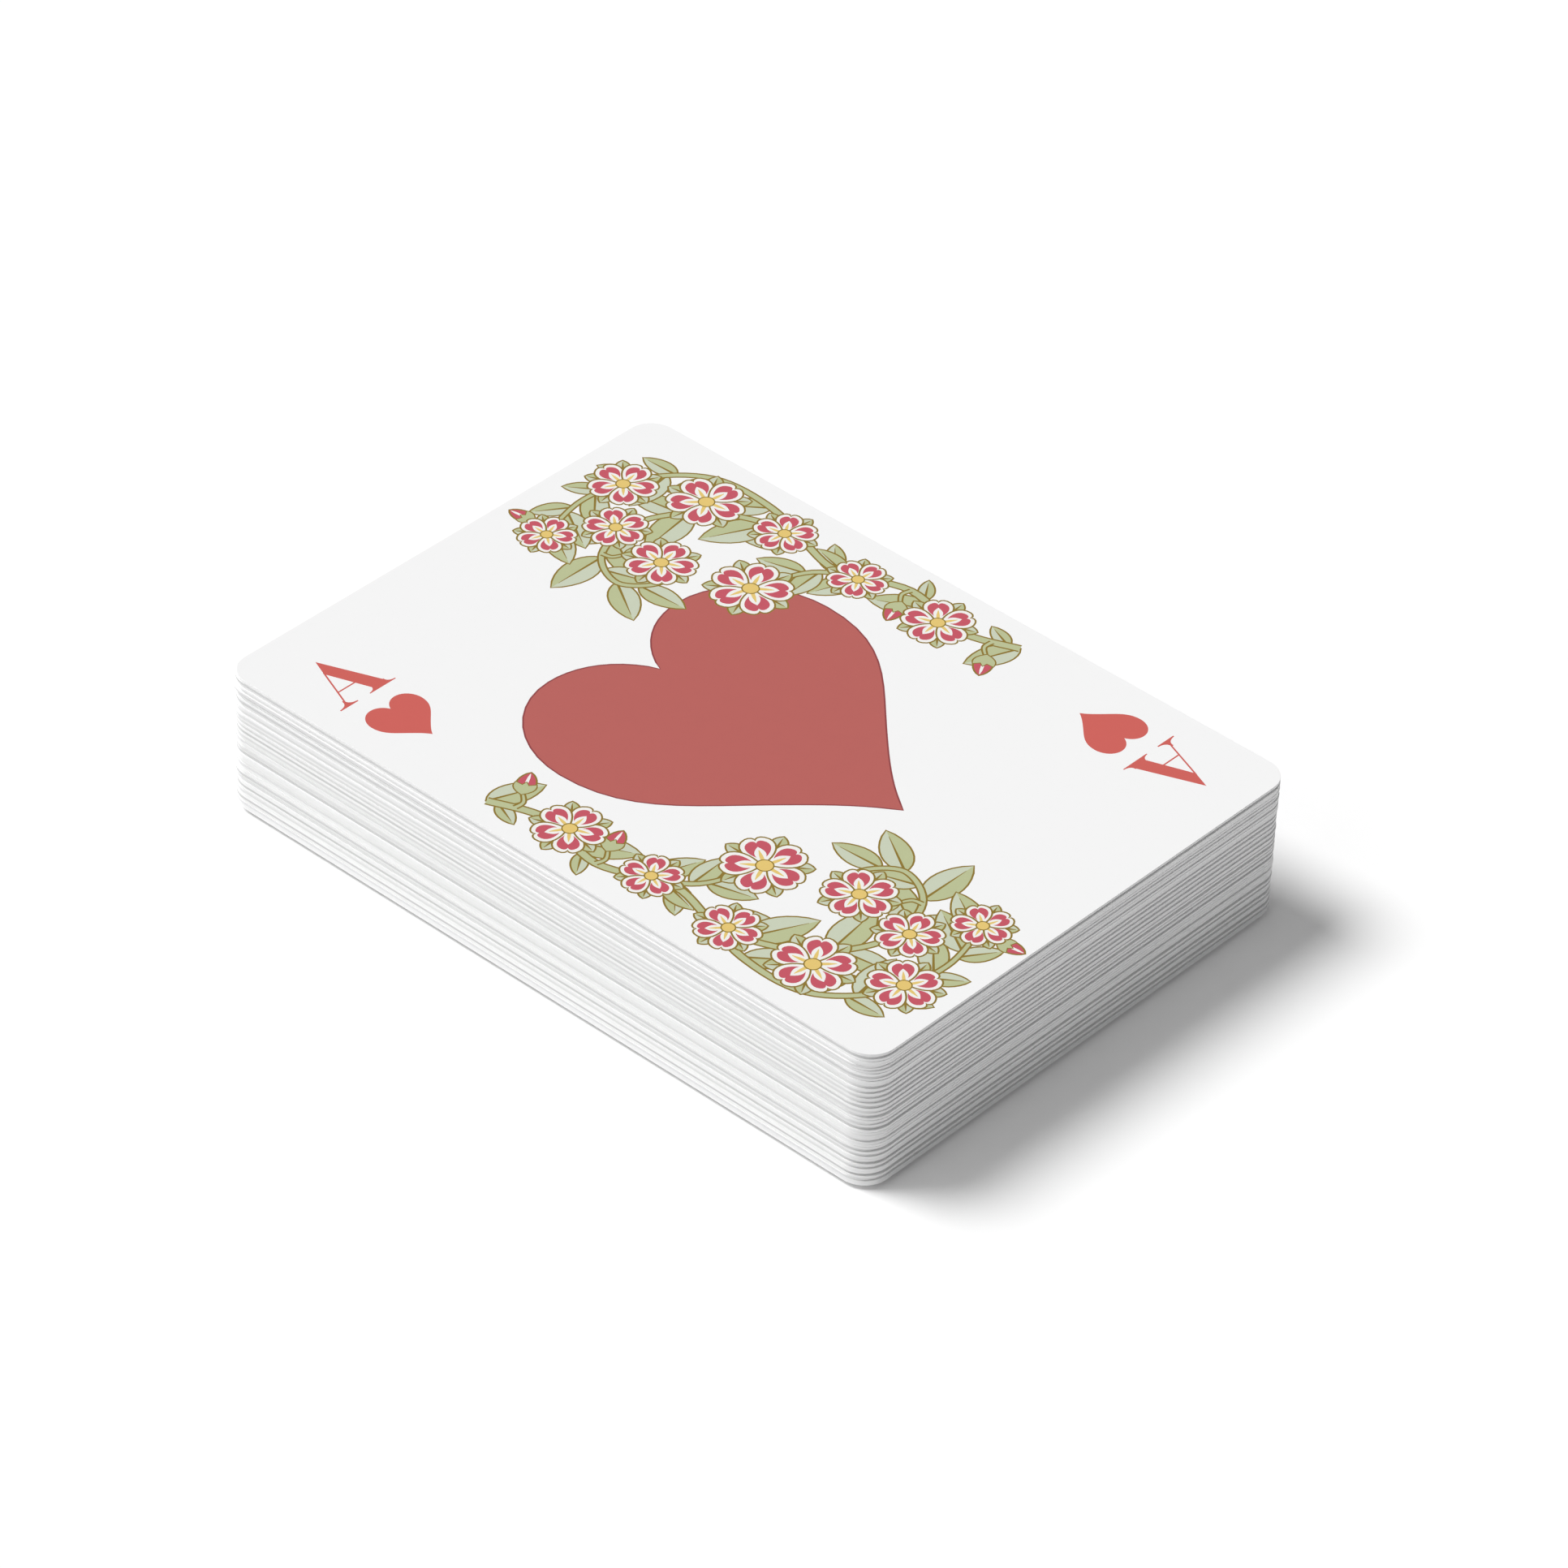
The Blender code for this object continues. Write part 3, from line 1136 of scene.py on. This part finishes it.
@dataclass(frozen=True)
class FaceLayout:
    """Where the print sits on a face, in millimetres.

    Attributes:
        index_x: middle of the index column.
        index_base: base line of the index character.
        cap_height: height of the index character.
        index_widest: room for a broad index character.
        index_pip_at: middle of the small sign under it.
        index_pip: width of that sign.
        index_star: radius of a joker's star in place of an index.
        column_x: distance of the outer pip columns from the middle.
        row_y: height of the outermost pips.
        pip: width of a pip.
        ace_pip: width of the sign on an ace.
        ace_middle: where the middle of that sign lies.
        print_shift: how far the print lies off the middle of the card.
    """

    index_x: float = -24.13
    index_base: float = 31.0
    cap_height: float = 7.63
    index_widest: float = 7.9
    index_pip_at: complex = -24.23 + 25.51j
    index_pip: float = 7.15
    index_star: float = 3.8
    column_x: float = 12.2
    row_y: float = 29.5
    pip: float = 10.5
    ace_pip: float = 39.48
    ace_middle: complex = -0.249 + 0.405j
    print_shift: complex = -0.14 - 0.39j

    def rows(self, rank: Rank) -> list[complex]:
        """Where the pips of a number card sit.

        Args:
            rank: two to ten.

        Returns:
            The pips' middles.
        """
        outer = [x + y * 1j for x in (-1, 1) for y in (-1, 1)]
        middle_row = [-1 + 0j, 1 + 0j]
        thirds = [x + y * 1j for x in (-1, 1) for y in (-1 / 3, 1 / 3)]
        table = {
            Rank.TWO: [1j, -1j],
            Rank.THREE: [1j, 0j, -1j],
            Rank.FOUR: outer,
            Rank.FIVE: [*outer, 0j],
            Rank.SIX: [*outer, *middle_row],
            Rank.SEVEN: [*outer, *middle_row, 0.5j],
            Rank.EIGHT: [*outer, *middle_row, 0.5j, -0.5j],
            Rank.NINE: [*outer, *thirds, 0j],
            Rank.TEN: [*outer, *thirds, 2j / 3, -2j / 3],
        }
        return [complex(p.real * self.column_x, p.imag * self.row_y) for p in table[rank]]

    def index(self, rank: Rank, suit: Suit) -> Drawing:
        """The character and small sign of one corner.

        Args:
            rank: the rank.
            suit: the suit.

        Returns:
            The printed index of the upper left corner.
        """
        corner = Drawing()
        character = Lettering.drawing(rank, self.cap_height, self.index_widest, suit.ink)
        corner.place(character, complex(self.index_x, self.index_base))
        corner.place(Pips.drawing(suit, self.index_pip), self.index_pip_at)
        return corner

    def face(self, rank: Rank, suit: Suit) -> Drawing:
        """The whole print of a suit card's face.

        Args:
            rank: the rank.
            suit: the suit.

        Returns:
            The printed face.
        """
        page = self.index(rank, suit).twice()
        if rank is Rank.ACE:
            page.place(Pips.drawing(suit, self.ace_pip, large=True), self.ace_middle)
            page.place(Spray().drawing().twice())
        elif rank in (Rank.JACK, Rank.QUEEN, Rank.KING):
            page.place(Court.drawing(rank, suit))
        else:
            for spot in self.rows(rank):
                turn = HALF_TURN if spot.imag < 0 else 1 + 0j
                page.place(Pips.drawing(suit, self.pip), spot, turn)
        return self.registered(page)

    def joker(self, ink: Ink) -> Drawing:
        """The print of a joker's face: two stars and the rosette.

        Args:
            ink: black or red.

        Returns:
            The printed face.
        """
        corner = Drawing()
        corner.place(Court.star(self.index_star, ink),
                     complex(self.index_x, self.index_base + self.cap_height / 2))
        page = corner.twice()
        page.place(Court.rosette(ink))
        return self.registered(page)

    def registered(self, page: Drawing) -> Drawing:
        """A face's print, moved to where it lies on the card.

        Args:
            page: the print about its own middle.

        Returns:
            The moved print.
        """
        sheet = Drawing()
        sheet.place(page, self.print_shift)
        return sheet


def rounded_rectangle(x: float, y: float, radius: float, steps: int) -> list[complex]:
    """A rectangle with round corners.

    Args:
        x: half its width.
        y: half its height.
        radius: corner radius.
        steps: pieces in each corner.

    Returns:
        Its points, anticlockwise.
    """
    outline = []
    for quarter, (side_x, side_y) in enumerate(((1, 1), (-1, 1), (-1, -1), (1, -1))):
        centre = complex(side_x * (x - radius), side_y * (y - radius))
        for step in range(steps + 1):
            angle = math.pi / 2 * (quarter + step / steps)
            outline.append(centre + cmath.rect(radius, angle))
    return outline


@dataclass(frozen=True)
class BackPrint:
    """The print of the backs, a ruled field of small lozenges, in millimetres.

    Attributes:
        border: bare stock round the field.
        layers: (inset, corner radius, ink) of the field and the rule in it, from the outside.
        corner_steps: pieces in each of their corners.
        margin: from the edge of the field to the lozenges.
        columns: lozenges from left to right.
        rows: lozenges from bottom to top.
        lozenge: (share of its cell, ink) of each layer of a lozenge.
    """

    border: float = 4.0
    layers: tuple[tuple[float, float, Ink], ...] = (
        (0.0, 1.6, Ink.BACK), (0.8, 1.2, Ink.CHALK), (1.2, 1.0, Ink.BACK),
    )
    corner_steps: int = 4
    margin: float = 2.4
    columns: int = 7
    rows: int = 10
    lozenge: tuple[tuple[float, Ink], ...] = (
        (0.92, Ink.CHALK), (0.74, Ink.BACK), (0.26, Ink.CHALK),
    )

    def drawing(self, width: float, length: float) -> Drawing:
        """The print on a card of a given size.

        Args:
            width: card width.
            length: card length.

        Returns:
            The printed back.
        """
        x, y = width / 2 - self.border, length / 2 - self.border
        page = Drawing()
        for inset, radius, ink in self.layers:
            page.fill(rounded_rectangle(x - inset, y - inset, radius, self.corner_steps), ink)
        step_x = 2 * (x - self.margin) / self.columns
        step_y = 2 * (y - self.margin) / self.rows
        for column in range(self.columns):
            for row in range(self.rows):
                middle = complex((column - (self.columns - 1) / 2) * step_x,
                                 (row - (self.rows - 1) / 2) * step_y)
                for share, ink in self.lozenge:
                    half_x, half_y = share * step_x / 2, share * step_y / 2
                    corners = [half_x, half_y * 1j, -half_x, -half_y * 1j]
                    page.fill([middle + corner for corner in corners], ink)
        return page


@dataclass(frozen=True)
class Imprint:
    """One printed side cut into flush regions.

    Attributes:
        points: the corners of its triangles, in millimetres.
        triangles: numbers of the three corners of each.
        inks: ink of each triangle.
        INSIDE_TRIANGLES: the cutter's choice to give triangles inside the outline.
        WELD: distance under which points become one, in millimetres.
    """

    points: list[Vector]
    triangles: list[list[int]]
    inks: list[Ink]

    INSIDE_TRIANGLES = 1
    WELD = 2e-4

    @classmethod
    def cut(cls, outline: Sequence[complex], drawing: Drawing) -> Imprint:
        """Cut a side along every edge of ink; the patch printed last shows.

        Args:
            outline: the side's own outline.
            drawing: what is printed on it.

        Returns:
            The cut side.
        """
        patches = [Patch(tuple(outline), Ink.STOCK), *drawing.patches]
        corners: list[Vector] = []
        polygons = []
        for patch in patches:
            first = len(corners)
            corners += [Vector((point.real, point.imag)) for point in patch.outline]
            polygons.append(list(range(first, len(corners))))
        points, _, triangles, _, _, sources = delaunay_2d_cdt(
            corners, [], polygons, cls.INSIDE_TRIANGLES, cls.WELD, True
        )
        inks = [patches[max(source)].ink for source in sources]
        return cls(points, triangles, inks)


@dataclass(frozen=True)
class Blank:
    """The die-cut card that every face is printed on, in millimetres.

    Attributes:
        width: left to right.
        length: bottom to top.
        thickness: through the card.
        corner: corner radius.
        corner_steps: pieces in a corner.
        roll: radius that the cut leaves on both rims.
        roll_steps: pieces in that radius.
    """

    width: float
    length: float
    thickness: float
    corner: float = 3.0
    corner_steps: int = 14
    roll: float = 0.02
    roll_steps: int = 3

    def printed_outline(self) -> list[complex]:
        """The flat part of a side, inside the rolled rim."""
        return rounded_rectangle(self.width / 2 - self.roll, self.length / 2 - self.roll,
                                 self.corner - self.roll, self.corner_steps)

    def outward(self, point: Vector) -> Vector:
        """The way out of the card, level, at a point on its rim.

        Args:
            point: the point.

        Returns:
            That way, a unit long.
        """
        x, y = self.width / 2 - self.corner, self.length / 2 - self.corner
        core = Vector((max(-x, min(x, point.x)), max(-y, min(y, point.y)), point.z))
        return (point - core).normalized()

    def rim_steps(self) -> list[tuple[float, float]]:
        """The cut edge from the face to the back.

        Returns:
            Its steps, each as (outward, down).
        """
        turns = [math.pi / 2 * k / self.roll_steps for k in range(self.roll_steps + 1)]
        top = [(math.sin(a) * self.roll, (1 - math.cos(a)) * self.roll) for a in turns]
        low = [(out, self.thickness - down) for out, down in reversed(top)]
        profile = top + low
        return [(b[0] - a[0], b[1] - a[1]) for a, b in zip(profile, profile[1:])]

    def mesh(
        self, face: Imprint, back: Imprint, edge: Ink
    ) -> tuple[bmesh.types.BMesh, list[Ink]]:
        """A printed card about the middle of its lower side.

        Args:
            face: the cut face.
            back: the cut back.
            edge: the tone of its cut edge.

        Returns:
            The shape, and the inks in the order of its material slots.
        """
        inks = list(dict.fromkeys([*face.inks, *back.inks, edge]))
        slots = {ink: k for k, ink in enumerate(inks)}
        shape = bmesh.new()
        self.lay_side(shape, face, slots, self.thickness, 1)
        rim = [item for item in shape.edges if item.is_boundary]
        for out, down in self.rim_steps():
            made = bmesh.ops.extrude_edge_only(shape, edges=rim)["geom"]
            edges = [item for item in made if isinstance(item, bmesh.types.BMEdge)]
            rim = [item for item in edges if item.is_boundary]
            for vert in self.ends(rim):
                vert.co += self.outward(vert.co) * out - Vector((0, 0, down))
            for strip in (item for item in made if isinstance(item, bmesh.types.BMFace)):
                strip.material_index = slots[edge]
                strip.smooth = True
        self.lay_side(shape, back, slots, 0.0, -1)
        seam = self.ends(item for item in shape.edges if item.is_boundary)
        bmesh.ops.remove_doubles(shape, verts=seam, dist=self.roll / 2)
        bmesh.ops.recalc_face_normals(shape, faces=shape.faces)
        return shape, inks

    @staticmethod
    def ends(edges: Iterable[bmesh.types.BMEdge]) -> list[bmesh.types.BMVert]:
        """The vertices of some edges, each once, in the edges' order."""
        return list(dict.fromkeys(vert for item in edges for vert in item.verts))

    @staticmethod
    def lay_side(
        shape: bmesh.types.BMesh, side: Imprint, slots: dict[Ink, int], height: float, facing: int
    ) -> None:
        """Lay a printed side flat in a shape.

        Args:
            shape: the shape to add to.
            side: the cut side.
            slots: number of each ink's material slot.
            height: height that it lies at.
            facing: 1 for up and -1 for down.
        """
        verts = [shape.verts.new((point.x * facing, point.y, height)) for point in side.points]
        for corners, ink in zip(side.triangles, side.inks):
            shape.faces.new([verts[k] for k in corners]).material_index = slots[ink]


class Shade:
    """A shader socket that takes part in Python arithmetic."""

    def __init__(self, tree: bpy.types.NodeTree, socket: bpy.types.NodeSocket) -> None:
        """Wrap a socket of a tree."""
        self.tree = tree
        self.socket = socket

    def combine(self, operation: str, first: Shade | float, second: Shade | float) -> Shade:
        """Add a Math node on two values.

        Args:
            operation: the node's operation.
            first: its first value.
            second: its second value.

        Returns:
            The node's result.
        """
        return ShaderTree(self.tree).node(
            "ShaderNodeMath", {"operation": operation}, {0: first, 1: second}
        )

    def __add__(self, other: Shade | float) -> Shade:
        """This plus another."""
        return self.combine("ADD", self, other)

    __radd__ = __add__

    def __sub__(self, other: Shade | float) -> Shade:
        """This less another."""
        return self.combine("SUBTRACT", self, other)

    def __rsub__(self, other: float) -> Shade:
        """A number less this."""
        return self.combine("SUBTRACT", other, self)

    def __mul__(self, other: Shade | float) -> Shade:
        """This times another."""
        return self.combine("MULTIPLY", self, other)

    __rmul__ = __mul__


class ShaderTree:
    """Adds nodes to one shader tree."""

    def __init__(self, tree: bpy.types.NodeTree) -> None:
        """Work on a tree."""
        self.tree = tree

    @classmethod
    def cleared(cls, owner: bpy.types.Material | bpy.types.World) -> ShaderTree:
        """Empty the tree of a material or a world.

        Args:
            owner: the material or the world.

        Returns:
            The empty tree, ready to work on.
        """
        owner.use_nodes = True
        owner.node_tree.nodes.clear()
        return cls(owner.node_tree)

    def node(
        self,
        kind: str,
        settings: dict | None = None,
        sockets: dict | None = None,
        out: int | str = 0,
    ) -> Shade | None:
        """Add one node.

        Args:
            kind: the node's type.
            settings: its own settings, set first.
            sockets: values or links of its inputs, by name or number.
            out: the output wanted.

        Returns:
            That output, or None for a node that has none.
        """
        made = self.tree.nodes.new(kind)
        for name, value in (settings or {}).items():
            setattr(made, name, value)
        for name, value in (sockets or {}).items():
            if isinstance(value, Shade):
                self.tree.links.new(value.socket, made.inputs[name])
            else:
                made.inputs[name].default_value = value
        return Shade(self.tree, made.outputs[out]) if made.outputs else None


@dataclass
class PrintShop:
    """Makes each ink's material once, in a plain version and one for the card on show.

    Attributes:
        tooth: scale and detail of the paper's grain, per metre.
        cloud: scale and detail of the patches of gloss and tone, per metre.
        cloud_share: share of the patches in the wander of the tone; the grain has the rest.
        gloss_swing: how far the roughness swings.
        sheen: strength of the surface reflection.
        made: the materials made so far.
    """

    tooth: tuple[float, float] = (5200.0, 3.0)
    cloud: tuple[float, float] = (420.0, 4.0)
    cloud_share: float = 0.6
    gloss_swing: float = 0.10
    sheen: float = 0.12
    made: dict[tuple[Ink, bool], bpy.types.Material] = field(default_factory=dict)

    def material(self, ink: Ink, on_show: bool) -> bpy.types.Material:
        """The material of an ink.

        Args:
            ink: the ink.
            on_show: whether its tone wanders, as on the card that is on show.

        Returns:
            The material.
        """
        key = (ink, on_show)
        if key not in self.made:
            self.made[key] = self.mix(ink.value, on_show)
        return self.made[key]

    def mix(self, finish: Finish, on_show: bool) -> bpy.types.Material:
        """Build one material from a finish.

        Args:
            finish: the finish.
            on_show: whether its tone wanders.

        Returns:
            The material.
        """
        material = bpy.data.materials.new(finish.name + ("_show" if on_show else ""))
        tree = ShaderTree.cleared(material)
        place = tree.node("ShaderNodeTexCoord", out="Object")
        grain, cloud = (
            tree.node("ShaderNodeTexNoise", None, {"Vector": place, "Scale": scale, "Detail": fine})
            for scale, fine in (self.tooth, self.cloud)
        )
        bump = tree.node(
            "ShaderNodeBump", None, {"Strength": 1.0, "Distance": finish.tooth, "Height": grain}
        )
        colour: Shade | tuple = finish.linear()
        if on_show:
            blend = cloud * self.cloud_share + grain * (1 - self.cloud_share)
            deep, pale = finish.linear(1 - finish.wander), finish.linear(1 + finish.wander)
            colour = tree.node(
                "ShaderNodeMix", {"data_type": "RGBA"}, {0: blend, 6: deep, 7: pale}, out=2
            )
        surface = tree.node("ShaderNodeBsdfPrincipled", None, {
            "Base Color": colour,
            "Roughness": (cloud - 0.5) * self.gloss_swing + finish.roughness,
            "Specular IOR Level": self.sheen,
            "Normal": bump,
        })
        tree.node("ShaderNodeOutputMaterial", None, {"Surface": surface})
        return material


@dataclass(frozen=True)
class Seat:
    """Where a card lies: the middle of its lower side, and its turn about the vertical."""

    middle: Vector
    turn: float

    @classmethod
    def of(cls, node: bpy.types.Object) -> Seat:
        """Read a card's seat from its solid: the top edge of the face gives the turn.

        Args:
            node: the solid.

        Returns:
            The seat.
        """
        low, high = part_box(node.name)
        middle = (low + high) / 2
        points = [vertex.co for vertex in node.data.vertices]
        right = max((p for p in points if p.x > middle.x), key=lambda p: p.y)
        left = max((p for p in points if p.x < middle.x), key=lambda p: p.y)
        turn = math.atan2(right.y - left.y, right.x - left.x)
        return cls(Vector((middle.x, middle.y, low.z)), turn)

    def matrix(self) -> Matrix:
        """From the card's own millimetres to its place in the pack."""
        place = Matrix.Translation(self.middle) @ Matrix.Rotation(self.turn, 4, "Z")
        return place @ Matrix.Scale(MM, 4)


def mesh_of(name: str, shape: bmesh.types.BMesh) -> bpy.types.Mesh:
    """Turn a finished shape into a mesh.

    Args:
        name: the mesh's name.
        shape: the shape, which is freed.

    Returns:
        The mesh.
    """
    mesh = bpy.data.meshes.new(name)
    shape.to_mesh(mesh)
    shape.free()
    return mesh


def put(name: str, data: bpy.types.ID) -> bpy.types.Object:
    """Put an object with its data into the scene.

    Args:
        name: the object's name.
        data: its mesh, lamp or camera.

    Returns:
        The object.
    """
    item = bpy.data.objects.new(name, data)
    bpy.context.scene.collection.objects.link(item)
    return item


@dataclass
class Pack:
    """The whole pack, printed and laid where the solids lie.

    Attributes:
        shown: the card on top, whose materials have their full detail.
        shown_tone: tone of its cut edge.
        true_card: a card that lies square, which gives the size of the blank.
        flush_tones: tones of cut edge, in the share in which they occur.
        sunk_painted_shade_tones: greyer tones for the cut edges that lie behind their neighbours',
            painted shade that darkens those recesses.
        sunk_from: how far behind them such an edge lies, in metres.
        tone_seed: seed for the tones' order.
        layout: where the print sits on a face.
        back_print: the print of the backs.
        shop: makes the inks' materials.
    """

    frame: dict
    shown: str = "ace_of_hearts"
    shown_tone: Ink = Ink.EDGE_SOFT
    true_card: str = "black_joker"
    flush_tones: tuple[Ink, ...] = (Ink.EDGE, Ink.EDGE, Ink.EDGE_SOFT)
    # Painted shade: cards sunk behind their neighbours get these greyer cut edges, darkening the
    # recess.
    sunk_painted_shade_tones: tuple[Ink, ...] = (Ink.EDGE_GREY, Ink.EDGE_DEEP)
    sunk_from: float = 0.05 * MM
    tone_seed: int = 11
    layout: FaceLayout = field(default_factory=FaceLayout)
    back_print: BackPrint = field(default_factory=BackPrint)
    shop: PrintShop = field(default_factory=PrintShop)

    def blank(self) -> Blank:
        """The blank in the size of the solids.

        Returns:
            The blank.
        """
        low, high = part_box(self.true_card)
        size = (high - low) / MM
        return Blank(size.x, size.y, size.z)

    def faces(self) -> dict[str, Drawing]:
        """Every card's face.

        Returns:
            The printed faces by the cards' names.
        """
        jokers = {"black_joker": Ink.BLACK, "red_joker": Ink.RED}
        prints = {name: self.layout.joker(ink) for name, ink in jokers.items()}
        for suit in Suit:
            for rank in Rank:
                prints[f"{rank.name.lower()}_of_{suit.title}"] = self.layout.face(rank, suit)
        return prints

    def sunk(self, seats: dict[str, Seat]) -> set[str]:
        """The cards whose front edge lies behind both neighbours'.

        Args:
            seats: every card's seat by its name.

        Returns:
            Their names.
        """
        order = sorted(seats, key=lambda name: seats[name].middle.z)
        ahead = [seats[name].middle.y for name in order]
        triples = zip(order[1:], ahead, ahead[1:], ahead[2:])
        return {
            name for name, below, own, above in triples
            if own - max(below, above) > self.sunk_from
        }

    def build(self) -> list[bpy.types.Object]:
        """Print, cut and lay every card.

        Returns:
            The cards' objects.
        """
        prints = self.faces()
        seats = {name: Seat.of(self.frame["nodes"][name]) for name in prints}
        sunk = self.sunk(seats)
        blank = self.blank()
        outline = blank.printed_outline()
        back = Imprint.cut(outline, self.back_print.drawing(blank.width, blank.length))
        draw = random.Random(self.tone_seed)
        cards = []
        for name, drawing in prints.items():
            face = Imprint.cut(outline, drawing)
            # A sunk card's cut edge gets a greyer tone, painted shade in its recess; the others get
            # a tone at random.
            tone = draw.choice(self.sunk_painted_shade_tones if name in sunk else self.flush_tones)
            on_show = name == self.shown
            shape, inks = blank.mesh(face, back, self.shown_tone if on_show else tone)
            bmesh.ops.transform(shape, matrix=seats[name].matrix(), verts=shape.verts)
            mesh = mesh_of(f"{name}_card", shape)
            for ink in inks:
                mesh.materials.append(self.shop.material(ink, on_show))
            card = put(f"{name}_card", mesh)
            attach(card, name)
            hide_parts(name)
            cards.append(card)
        return cards


@dataclass(frozen=True)
class Lamp:
    """A soft lamp that stands far away.

    Attributes:
        name: its object's name.
        azimuth: where it stands round the pack, in degrees from +X.
        elevation: its height above the horizon, in degrees.
        strength: its strength, where 1 renders white on a sheet that faces it.
        angle: how wide it looks, in degrees.
    """

    name: str
    azimuth: float
    elevation: float
    strength: float
    angle: float

    def build(self) -> None:
        """Set the lamp up."""
        a, e = math.radians(self.azimuth), math.radians(self.elevation)
        way = Vector((math.cos(a) * math.cos(e), math.sin(a) * math.cos(e), math.sin(e)))
        lamp = bpy.data.lights.new(self.name, "SUN")
        lamp.energy = self.strength * math.pi
        lamp.angle = math.radians(self.angle)
        light = put(self.name, lamp)
        light.rotation_mode = "QUATERNION"
        light.rotation_quaternion = way.to_track_quat("Z", "Y")


@dataclass
class Studio:
    """White floor, soft lamps, pale surroundings and the camera.

    Attributes:
        floor_radius: radius of the floor in metres.
        floor_sides: sides of its rim.
        floor_drop: how far the floor lies under the pack.
        floor_white: how light the floor is.
        floor_seen: how light the eye sees it.
        floor_lift: what the eye sees on top of that, so that it ends white.
        lamps: the key light behind on the left, and a low one on the left.
        surround: strength of the light from all round.
        aim: middle of the top card, which the camera was measured from, in metres.
        azimuth: where the camera stands round the pack, in degrees.
        elevation: its height above the horizon, in degrees.
        roll: its tilt about its own axis, in degrees.
        distance: its distance from the middle of the pack's base, in metres.
        aside: how far it stands to the right and up, in metres.
        lens: its focal length in millimetres.
        sensor: width of its sensor in millimetres.
        clip: nearest and farthest distance that it sees, in metres.
    """

    floor_radius: float = 3.0
    floor_sides: int = 64
    floor_drop: float = 0.0005
    floor_white: float = 1.0
    floor_seen: float = 0.985
    floor_lift: float = 0.045
    lamps: tuple[Lamp, ...] = (
        Lamp("key_light", azimuth=117.0, elevation=56.8, strength=0.84, angle=28.0),
        Lamp("fill_light", azimuth=160.0, elevation=22.0, strength=0.19, angle=60.0),
    )
    surround: float = 0.23
    aim: tuple[float, float] = (0.0, 0.0)
    azimuth: float = -49.152
    elevation: float = 37.780
    roll: float = 2.447
    distance: float = 0.73822
    aside: tuple[float, float] = (0.003123, 0.006829)
    lens: float = 166.407
    sensor: float = 36.0
    clip: tuple[float, float] = (0.01, 20.0)

    def build(self) -> None:
        """Set up everything that isn't the pack."""
        self.floor()
        for lamp in self.lamps:
            lamp.build()
        self.world()
        self.camera()

    @staticmethod
    def seen(tree: ShaderTree) -> Shade:
        """Tell the rays that are looked along from those that only light the scene.

        Args:
            tree: the tree to add to.

        Returns:
            1 for rays that reach the eye straight or by way of gloss or glass, or else 0.
        """
        path = ("Is Camera Ray", "Is Glossy Ray", "Is Transmission Ray")
        camera, glossy, clear = (tree.node("ShaderNodeLightPath", out=ray) for ray in path)
        return camera + glossy + clear

    def floor(self) -> None:
        """A round white floor."""
        shape = bmesh.new()
        bmesh.ops.create_circle(
            shape, cap_ends=True, radius=self.floor_radius, segments=self.floor_sides
        )
        bmesh.ops.translate(shape, vec=(0, 0, -self.floor_drop), verts=shape.verts)
        mesh = mesh_of("floor", shape)
        material = bpy.data.materials.new("white_floor")
        tree = ShaderTree.cleared(material)
        seen = self.seen(tree)
        white = seen * (self.floor_seen - self.floor_white) + self.floor_white
        matt = tree.node("ShaderNodeBsdfDiffuse", None, {"Color": white})
        lift = tree.node("ShaderNodeEmission", None, {"Strength": seen * self.floor_lift})
        both = tree.node("ShaderNodeAddShader", None, {0: matt, 1: lift})
        tree.node("ShaderNodeOutputMaterial", None, {"Surface": both})
        mesh.materials.append(material)
        floor = put("floor", mesh)

    def world(self) -> None:
        """Even light from all round, white where it is looked at."""
        world = bpy.data.worlds.new("pale_room")
        tree = ShaderTree.cleared(world)
        strength = self.seen(tree) * (1 - self.surround) + self.surround
        sky = tree.node("ShaderNodeBackground", None, {"Color": (1, 1, 1, 1), "Strength": strength})
        tree.node("ShaderNodeOutputWorld", None, {"Surface": sky})
        bpy.context.scene.world = world

    def camera(self) -> None:
        """The camera where the photograph was taken from."""
        a, e, r = (math.radians(v) for v in (self.azimuth, self.elevation, self.roll))
        back = Vector((math.sin(a) * math.cos(e), -math.cos(a) * math.cos(e), math.sin(e)))
        right = Vector((math.cos(a), math.sin(a), 0.0))
        up = back.cross(right)
        data = bpy.data.cameras.new("camera")
        data.sensor_width = self.sensor
        data.lens = self.lens
        data.clip_start, data.clip_end = self.clip
        camera = put("camera", data)
        place = back * self.distance + right * self.aside[0] + up * self.aside[1]
        place += Vector((*self.aim, 0.0))
        tilted_right = right * math.cos(r) + up * math.sin(r)
        tilted_up = up * math.cos(r) - right * math.sin(r)
        turn = Matrix((tilted_right, tilted_up, back)).transposed()
        camera.matrix_world = Matrix.Translation(place) @ turn.to_4x4()
        bpy.context.scene.camera = camera


def main() -> None:
    """Load the frame, dress the pack and set the stage."""
    logging.basicConfig(level=logging.INFO, format="%(message)s")
    for item in list(bpy.data.objects):
        bpy.data.objects.remove(item, do_unlink=True)
    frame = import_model()
    pack = Pack(frame)
    for card in pack.build():
        LOG.info("%s: %d faces", card.name, len(card.data.polygons))
    top = Seat.of(frame["nodes"][pack.shown]).middle
    Studio(aim=(top.x, top.y)).build()
    bpy.context.scene.view_settings.view_transform = "Standard"


if __name__ == "__main__":
    main()
